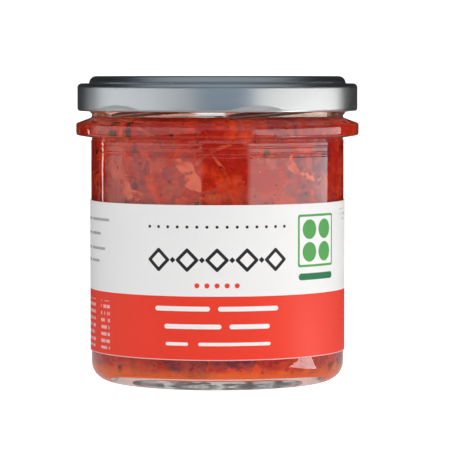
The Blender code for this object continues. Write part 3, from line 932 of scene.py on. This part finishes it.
fibre = cloud(tree, place, 900.0, detail=3.0)
blotch = cloud(tree, place, 45.0, detail=2.0)
colour = mixed(tree, blotch, rgb(243, 243, 243), WHITE_INK)
red_field = mixed(tree, blotch, rgb(241, 58, 36), RED_INK)
colour = mixed(tree, ramp(tree, up, RED_TOP + 0.05, RED_TOP - 0.05), colour, red_field)

# Shapes on the paper: ink, centre along and up, width and height, corner rounding, turn
EIGHTH = math.pi / 4
printed = []
for k in range(15):
    printed.append((DARK_INK, (-21.0 + 3.0 * k, 49.2), (0.9, 0.9), 0.45, 0.0))
for k in range(5):
    printed.append((DARK_INK, (-18.0 + 9.0 * k, 39.4), (5.2, 5.2), 0.5, EIGHTH))
    printed.append((WHITE_INK, (-18.0 + 9.0 * k, 39.4), (3.2, 3.2), 0.2, EIGHTH))
for k in range(4):
    printed.append((DARK_INK, (-13.5 + 9.0 * k, 39.4), (1.3, 1.3), 0.1, EIGHTH))
for k in range(5):
    printed.append((RED_INK, (-6.0 + 3.0 * k, 31.8), (1.5, 1.5), 0.75, 0.0))
for centre, size in (
    ((-10.6, 24.9), (17.0, 1.4)),
    ((9.6, 24.9), (18.6, 1.4)),
    ((-7.4, 19.6), (17.4, 1.4)),
    ((9.9, 19.6), (12.4, 1.4)),
    ((-12.2, 14.4), (7.0, 1.0)),
    ((5.4, 14.4), (22.0, 1.0)),
):
    printed.append((WHITE_INK, centre, size, 0.7, 0.0))
for up_there, right_end in ((50.4, -38.5), (46.1, -44.0), (41.6, -41.0), (37.8, -45.0)):
    printed.append((GREY_INK, ((right_end - 52.0) / 2, up_there), (right_end + 52.0, 0.8), 0.3, 0.0))
    printed.append((GREY_INK, (-61.0, up_there), (16.0, 0.8), 0.3, 0.0))
printed.append((GREEN_INK, (34.3, 44.6), (16.6, 15.8), 0.8, 0.0))
printed.append((WHITE_INK, (34.3, 44.6), (15.2, 14.4), 0.4, 0.0))
for side in (-3.5, 3.5):
    for rise in (-3.4, 3.4):
        printed.append((GREEN_INK, (34.3 + side, 44.6 + rise), (5.9, 5.9), 2.95, 0.0))
printed.append((DEEP_GREEN_INK, (34.3, 33.8), (16.0, 2.0), 1.0, 0.0))
printed.append((WHITE_INK, (0.0, LABEL_LOW_Z / MM), (260.0, 0.5), 0.0, 0.0))
for ink, centre, size, corner, turn in printed:
    colour = mixed(tree, bar_mask(centre, size, corner, turn), colour, ink)
for ink, centre, size, spacing in (
    (WHITE_INK, (-41.0, 18.6), (5.6, 14.7), 2.1),
    (WHITE_INK, (-56.0, 18.6), (15.0, 14.7), 2.1),
    (GREY_INK, (62.0, 51.8), (26.0, 3.4), 1.7),
    (WHITE_INK, (72.0, 19.5), (30.0, 12.0), 1.9),
    (GREY_INK, (98.0, 40.0), (18.0, 18.0), 1.7),
):
    colour = mixed(tree, dashes_mask(centre, size, spacing), colour, ink)
tree.links.new(colour, shader.inputs["Base Color"])
tree.links.new(calc(tree, "MULTIPLY_ADD", fibre, 0.15, 0.42), shader.inputs["Roughness"])
shader.inputs["Specular IOR Level"].default_value = 0.3
bump = add_node(tree, "ShaderNodeBump", {"Strength": 0.3, "Distance": 0.03 * MM, "Height": fibre})
tree.links.new(bump.outputs[0], shader.inputs["Normal"])
dress(paper_label, paper, "label_paper", "label")
print("printed shapes:", len(printed))

# %% [markdown]
# Everything in the jar is stained by the same chilli paste, here thick, there thin. That smear is an effect
# that all food materials share, so it is one node group: it puts out how much paste covers a place, a
# finer speckle, and a painted glow that lightens the colour low in the jar, where light shines up through the
# glass.

# %% The shared paste smear
# Painted glow: between these two heights the food's colour turns to bright orange, standing in for light from
# below.
PAINTED_GLOW_END_Z = 8.4 * MM
PAINTED_GLOW_FULL_Z = 5.6 * MM
smear = bpy.data.node_groups.new("paste_smear", "ShaderNodeTree")
smear.interface.new_socket("Place", in_out="INPUT", socket_type="NodeSocketVector")
smear.interface.new_socket("Cover", in_out="INPUT", socket_type="NodeSocketFloat")
smear.interface.new_socket("Paste", in_out="OUTPUT", socket_type="NodeSocketFloat")
smear.interface.new_socket("Speckle", in_out="OUTPUT", socket_type="NodeSocketFloat")
smear.interface.new_socket("Painted Glow", in_out="OUTPUT", socket_type="NodeSocketFloat")
given = smear.nodes.new("NodeGroupInput").outputs
answer = smear.nodes.new("NodeGroupOutput")
streaks = add_node(smear, "ShaderNodeMapping", {"Vector": given[0], "Scale": (1.0, 1.0, 1.6)}).outputs[0]
broad = cloud(smear, streaks, 110.0, detail=4.0, roughness=0.6, distortion=0.6)
edge_low = calc(smear, "SUBTRACT", 0.86, given[1])
paste_cover = add_node(
    smear,
    "ShaderNodeMapRange",
    {"Value": broad, "From Min": edge_low, "From Max": calc(smear, "ADD", edge_low, 0.2)},
    interpolation_type="SMOOTHSTEP",
)
speckle = ramp(smear, cloud(smear, given[0], 850.0, detail=3.0, roughness=0.7), 0.56, 0.70)
height = add_node(smear, "ShaderNodeSeparateXYZ", {0: given[0]}).outputs[2]
uneven = calc(smear, "MULTIPLY_ADD", cloud(smear, given[0], 260.0, detail=3.0), 3.0 * MM, height)
painted_glow = ramp(smear, uneven, PAINTED_GLOW_END_Z, PAINTED_GLOW_FULL_Z)
for value, socket in zip((paste_cover.outputs["Result"], speckle, painted_glow), answer.inputs):
    smear.links.new(value, socket)

# %% [markdown]
# One function makes every food material, because they differ in three colours and how much paste covers
# them. A little light passes under the surface of wet cabbage, which subsurface scattering gives. Low in
# the jar light from the table shines up through the glass floor and thin brine, so that light is painted in:
# the colour turns bright orange there.

# %% Food materials
PASTE_DEEP = rgb(178, 27, 12)
PASTE_BRIGHT = rgb(236, 72, 28)
# The colour of the painted glow from below, not a colour of the food itself.
PAINTED_GLOW_ORANGE = rgb(254, 116, 34)
VEIN_CONTRAST = 2.2
SPECKLE_SHARE = 0.35
PAINTED_GLOW_SHARE = 0.8


def food_material(name, dark, light, cover, scatter=0.25):
    material, nodes, surface, where = new_material(name)
    tone = add_node(nodes, "ShaderNodeAttribute", attribute_name="tone").outputs["Fac"]
    covered = add_node(nodes, "ShaderNodeGroup", {0: where, 1: cover}, node_tree=smear)
    veins = cloud(nodes, where, 240.0, detail=5.0, roughness=0.65, distortion=1.2)
    vein_tone = calc(nodes, "MULTIPLY_ADD", calc(nodes, "SUBTRACT", veins, 0.5), VEIN_CONTRAST, tone)
    own = mixed(nodes, vein_tone, dark, light)
    paste_mix = cloud(nodes, where, 75.0, detail=4.0, roughness=0.6)
    paste = mixed(nodes, ramp(nodes, paste_mix, 0.40, 0.62), PASTE_DEEP, PASTE_BRIGHT)
    wet = mixed(nodes, covered.outputs[0], own, paste)
    speckle_mix = calc(nodes, "MULTIPLY", covered.outputs[1], SPECKLE_SHARE)
    speckled = mixed(nodes, speckle_mix, wet, PASTE_BRIGHT)
    # Painted glow: low in the jar the colour is mixed towards bright orange in place of light shining up
    # through the floor.
    painted_glow_mix = calc(nodes, "MULTIPLY", covered.outputs[2], PAINTED_GLOW_SHARE)
    lit = mixed(nodes, painted_glow_mix, speckled, PAINTED_GLOW_ORANGE)
    nodes.links.new(lit, surface.inputs["Base Color"])
    surface.inputs["Roughness"].default_value = 0.5
    surface.inputs["Specular IOR Level"].default_value = 0.06
    surface.inputs["Subsurface Weight"].default_value = scatter
    surface.inputs["Subsurface Radius"].default_value = (1.0, 0.25, 0.12)
    surface.inputs["Subsurface Scale"].default_value = 1.2 * MM
    relief = add_node(nodes, "ShaderNodeBump", {"Strength": 0.4, "Distance": 0.15 * MM, "Height": veins})
    nodes.links.new(relief.outputs[0], surface.inputs["Normal"])
    return material


paste = food_material("chilli_paste", rgb(178, 28, 14), rgb(228, 60, 24), 0.5)
dress(chilli_paste, paste, "kimchi", "kimchi")
leaf = food_material("cabbage_leaf", rgb(116, 32, 52), rgb(212, 76, 50), 0.38)
dress(cabbage_leaves, leaf, "kimchi")
rib = food_material("cabbage_rib", rgb(196, 54, 34), rgb(228, 104, 74), 0.46)
dress(cabbage_ribs, rib, "kimchi")
shred = food_material("radish_shred", rgb(198, 50, 26), rgb(232, 98, 58), 0.5)
dress(radish_shreds, shred, "kimchi")
onion = food_material("green_onion", rgb(66, 44, 24), rgb(112, 68, 38), 0.2, 0.1)
dress(green_onions, onion, "kimchi")
flake = food_material("chilli_flake", rgb(170, 30, 12), rgb(244, 98, 36), 0.16, 0.1)
dress(chilli_flakes, flake, "kimchi")

# %% [markdown]
# The stage is a pale sweep: a floor that curves up into the backdrop, so that no horizon shows. It is a
# plane whose back edge is extruded in steps round a quarter circle. A real sweep is lit until it is white to
# the lens, while the studio that the jar mirrors is dark. So the sweep glows for sight lines, less for
# scattered light, and mirrors show only its nearest part, dimly.

# %% Floor and backdrop
SWEEP_WIDTH = 1.5
SWEEP_FRONT = -0.36
SWEEP_BACK = 1.1
SWEEP_BEND = 0.35
SWEEP_TOP = 0.42
SIGHT_GLOW = 0.62
SCATTER_GLOW = 0.3
sweep_line = [Vector((SWEEP_FRONT, 0)), Vector((SWEEP_BACK, 0))]
for k in range(1, 13):
    turn = math.radians(90 * k / 12)
    back_here = SWEEP_BACK + SWEEP_BEND * math.sin(turn)
    sweep_line.append(Vector((back_here, SWEEP_BEND * (1 - math.cos(turn)))))
sweep_line.append(Vector((SWEEP_BACK + SWEEP_BEND, SWEEP_TOP)))
sweep = start_with_vertex("sweep", 0, 0)
bpy.ops.transform.translate(value=(-SWEEP_WIDTH / 2, SWEEP_FRONT, 0))
for a, b in zip(sweep_line, sweep_line[1:]):
    bpy.ops.mesh.extrude_region_move(TRANSFORM_OT_translate={"value": (0, b.x - a.x, b.y - a.y)})
bpy.ops.mesh.select_all(action="SELECT")
bpy.ops.mesh.extrude_region_move(TRANSFORM_OT_translate={"value": (SWEEP_WIDTH, 0, 0)})
bpy.ops.object.mode_set(mode="OBJECT")
smooth(sweep, 60)


def only_mirrored(tree, rays):
    """1 for rays that a surface mirrors. A ray that goes through glass counts as glossy too, and gets 0."""
    difference = calc(tree, "SUBTRACT", rays["Is Glossy Ray"], rays["Is Transmission Ray"])
    return calc(tree, "MAXIMUM", difference, 0.0)


def in_sight(tree, rays):
    """1 for rays from the lens, also through glass, that were mirrored nowhere on the way."""
    straight = calc(tree, "LESS_THAN", rays["Glossy Depth"], 0.5)
    through = calc(tree, "MULTIPLY", rays["Is Transmission Ray"], straight)
    return calc(tree, "MAXIMUM", rays["Is Camera Ray"], through)


pale, tree, shader, place = new_material("pale_sweep")
shader.inputs["Base Color"].default_value = (0.82, 0.82, 0.82, 1)
shader.inputs["Roughness"].default_value = 0.9
shader.inputs["Specular IOR Level"].default_value = 0.1
shader.inputs["Emission Color"].default_value = (1, 1, 1, 1)
rays = add_node(tree, "ShaderNodeLightPath").outputs
sweep_glow = calc(tree, "MULTIPLY_ADD", in_sight(tree, rays), SIGHT_GLOW, SCATTER_GLOW)
tree.links.new(sweep_glow, shader.inputs["Emission Strength"])
back = add_node(tree, "ShaderNodeSeparateXYZ", {0: place}).outputs[1]
mirrored_glow = calc(tree, "MULTIPLY_ADD", ramp(tree, back, 0.16, 0.06), 0.50, 0.02)
mirrored = add_node(tree, "ShaderNodeEmission", {"Strength": mirrored_glow})
either = add_node(tree, "ShaderNodeMixShader", {0: only_mirrored(tree, rays)})
tree.links.new(shader.outputs[0], either.inputs[1])
tree.links.new(mirrored.outputs[0], either.inputs[2])
tree.links.new(either.outputs[0], tree.nodes["Material Output"].inputs["Surface"])
sweep.data.materials.append(pale)

# %% [markdown]
# Two soft boxes stand left and right. On the round glass each shows as an upright pale window, the right one
# stronger and sharp at its outer edge, and between them the glass stays clear and the food deep red. Each is
# a plane that glows on its front, fading out towards the camera's side. The left one is cooler above, where
# the cap mirrors it. A narrow strip at the far left draws the thin bright line, and a small box in front is
# for the cap alone.

# %% Soft boxes
HARD = 0.0001
SOLID_WHITE = (1.0, 1.0, 1.0)


def soft_box(name, degrees, distance, width, height, radiance, tint, fade, base=0.0):
    """A glowing upright panel at an angle from the camera's side, which fades over a share at each end."""
    deselect_all()
    bpy.ops.mesh.primitive_plane_add(size=1)
    panel = bpy.context.object
    panel.name = name
    material, tree, shader, place = new_material(name)
    shader.inputs["Base Color"].default_value = (0, 0, 0, 1)
    shader.inputs["Specular IOR Level"].default_value = 0.0
    shader.inputs["Emission Color"].default_value = (*tint, 1)
    angle = math.radians(degrees - 90)
    side = Vector((-math.sin(angle), math.cos(angle), 0)) * (1 if degrees > 0 else -1)
    outward = add_node(tree, "ShaderNodeVectorMath", {0: place, 1: side}, operation="DOT_PRODUCT")
    near_shade = ramp(tree, outward.outputs["Value"], -0.5 * width, (fade[0] - 0.5) * width)
    far_shade = ramp(tree, outward.outputs["Value"], 0.5 * width, (0.5 - fade[1]) * width)
    front = add_node(tree, "ShaderNodeNewGeometry").outputs["Backfacing"]
    shade = calc(tree, "MULTIPLY", near_shade, far_shade)
    lit = calc(tree, "MULTIPLY", shade, calc(tree, "SUBTRACT", 1.0, front))
    tree.links.new(calc(tree, "MULTIPLY", lit, radiance), shader.inputs["Emission Strength"])
    spot = (distance * math.cos(angle), distance * math.sin(angle), base + height / 2)
    facing = Matrix.Rotation(angle - math.pi / 2, 4, "Z") @ Matrix.Rotation(math.pi / 2, 4, "X")
    panel.data.transform(Matrix.Translation(spot) @ facing @ Matrix.Diagonal((width, height, 1, 1)))
    panel.data.materials.append(material)
    panel.visible_camera = False
    return panel


soft_box("right_box", 71, 0.62, 1.28, 0.088, 3.2, (1.0, 0.985, 0.955), (0.1, HARD))
soft_box("left_box_low", -68, 0.70, 2.15, 0.066, 1.35, (1.0, 0.93, 0.88), (0.08, 0.3))
soft_box("left_box_high", -68, 0.70, 2.15, 0.064, 1.6, (0.87, 0.98, 1.06), (0.08, 0.3), 0.066)
soft_box("left_edge", -125, 0.60, 0.03, 0.066, 3.5, SOLID_WHITE, (HARD, HARD))
cap_box = soft_box("cap_box", 6, 0.25, 0.2, 0.04, 0.75, (0.72, 0.95, 1.18), (HARD, HARD), 0.077)
cap_box.visible_diffuse = False
cap_box.visible_shadow = False

# %% [markdown]
# Low glass mirrors the table, not the boxes. In a studio a white card laid on the table gives it a
# highlight, here at the right under the label. Only mirrored rays see the card.

# %% A card on the table
CARD_LEFT = 0.058
CARD_FRONT = -0.048
CARD_SIZE = (0.077, 0.030)
low_card = start_with_vertex("low_card", CARD_LEFT, 0.0005)
bpy.ops.transform.translate(value=(0, CARD_FRONT, 0))
bpy.ops.mesh.extrude_region_move(TRANSFORM_OT_translate={"value": (CARD_SIZE[0], 0, 0)})
bpy.ops.mesh.select_all(action="SELECT")
bpy.ops.mesh.extrude_region_move(TRANSFORM_OT_translate={"value": (0, CARD_SIZE[1], 0)})
bpy.ops.object.mode_set(mode="OBJECT")
bright, tree, shader, place = new_material("low_card")
shader.inputs["Emission Color"].default_value = (1, 1, 1, 1)
shader.inputs["Emission Strength"].default_value = 6.0
low_card.data.materials.append(bright)
low_card.visible_camera = False
low_card.visible_diffuse = False
low_card.visible_shadow = False
low_card.visible_transmission = False

# %% [markdown]
# Four square lamps give the soft light that shows the food and the paper: one above, one in front, and one
# at each side, the right one stronger. They don't show in mirrors, which keeps the windows in the glass
# plain. Each is set by its radiance, how bright its face is, because that doesn't change with its size.

# %% Lamps
def lamp(name, size, radiance, place, tip, turn=0.0):
    light = bpy.data.lights.new(name, "AREA")
    light.size = size
    light.energy = radiance * math.pi * size * size
    holder = bpy.data.objects.new(name, light)
    holder.location = place
    holder.rotation_euler = (math.radians(tip), 0, math.radians(turn))
    bpy.context.collection.objects.link(holder)
    holder.visible_glossy = False


lamp("top_box", 0.8, 1.1, (0, -0.75, 0.95), 38)
lamp("front_fill", 0.6, 2.0, (0.1, -1.0, 0.45), 68)
lamp("right_fill", 0.6, 1.6, (0.74, -0.13, 0.25), 72, 80)
lamp("left_fill", 0.6, 0.7, (-0.74, -0.13, 0.25), 72, -80)

# %% [markdown]
# Black cards stand behind the jar on both sides, out of the picture. They are what gives glass and polished
# metal their dark outlines in a bright room. Only mirrored rays see them.

# %% Black cards
CARD_DISTANCE = 0.32
CARD_WIDTH = 0.3
CARD_HEIGHT = 0.5
black, tree, shader, place = new_material("black_card")
shader.inputs["Base Color"].default_value = (0.01, 0.01, 0.01, 1)
shader.inputs["Roughness"].default_value = 0.9
for name, degrees in (("left_card", -152), ("right_card", 150)):
    deselect_all()
    bpy.ops.mesh.primitive_plane_add(size=1)
    card = bpy.context.object
    card.name = name
    angle = math.radians(degrees - 90)
    spot = (CARD_DISTANCE * math.cos(angle), CARD_DISTANCE * math.sin(angle), CARD_HEIGHT / 2)
    upright = Matrix.Rotation(angle + math.pi / 2, 4, "Z") @ Matrix.Rotation(math.pi / 2, 4, "X")
    card.data.transform(Matrix.Translation(spot) @ upright @ Matrix.Diagonal((CARD_WIDTH, CARD_HEIGHT, 1, 1)))
    card.data.materials.append(black)
    card.visible_camera = False
    card.visible_diffuse = False
    card.visible_shadow = False
    card.visible_transmission = False

# %% [markdown]
# The room beyond the stage is the world. In mirrors its ceiling is dim and all the rest nearly black.
# To the lens, also through the glass, it is pale like the sweep, and it adds a little light from all round.

# %% The room
world = bpy.data.worlds.new("dim_room")
world.use_nodes = True
tree = world.node_tree
toward = add_node(tree, "ShaderNodeTexCoord").outputs["Generated"]
axes = add_node(tree, "ShaderNodeSeparateXYZ", {0: toward}).outputs
in_front = ramp(tree, axes[1], 0.1, -0.4)
overhead = calc(tree, "MULTIPLY", in_front, ramp(tree, axes[2], 0.25, 0.55))
overhead = calc(tree, "MAXIMUM", overhead, ramp(tree, axes[2], 0.70, 0.88))
dim_light = calc(tree, "MULTIPLY_ADD", overhead, 0.40, 0.02)
dim_room = tree.nodes["Background"]
dim_room.inputs[0].default_value = (0.8, 0.93, 1.05, 1)
rays = add_node(tree, "ShaderNodeLightPath").outputs
tree.links.new(dim_light, dim_room.inputs[1])
pale_light = calc(tree, "MULTIPLY_ADD", in_sight(tree, rays), 0.65, 0.25)
pale_room = add_node(tree, "ShaderNodeBackground", {"Color": (1, 1, 1, 1), "Strength": pale_light})
either = add_node(tree, "ShaderNodeMixShader", {0: only_mirrored(tree, rays)})
tree.links.new(pale_room.outputs[0], either.inputs[1])
tree.links.new(dim_room.outputs[0], either.inputs[2])
tree.links.new(either.outputs[0], tree.nodes["World Output"].inputs["Surface"])
bpy.context.scene.world = world

# %% [markdown]
# The camera stands level with the cap, nearly a metre away, with a long lens: the lid shows edge on and the
# label's edges sag a little. It is set a hair to the right and tipped down three degrees.

# %% Camera and view
LENS = 224.1
CAMERA_PLACE = (2.65 * MM, -870 * MM, 95 * MM)
CAMERA_DIP = 3.13
camera_data = bpy.data.cameras.new("camera")
camera_data.lens = LENS
camera_data.sensor_width = 36
camera = bpy.data.objects.new("camera", camera_data)
bpy.context.collection.objects.link(camera)
camera.location = CAMERA_PLACE
camera.rotation_euler = (math.radians(90 - CAMERA_DIP), 0, 0)
bpy.context.scene.camera = camera
bpy.context.scene.view_settings.view_transform = "Standard"
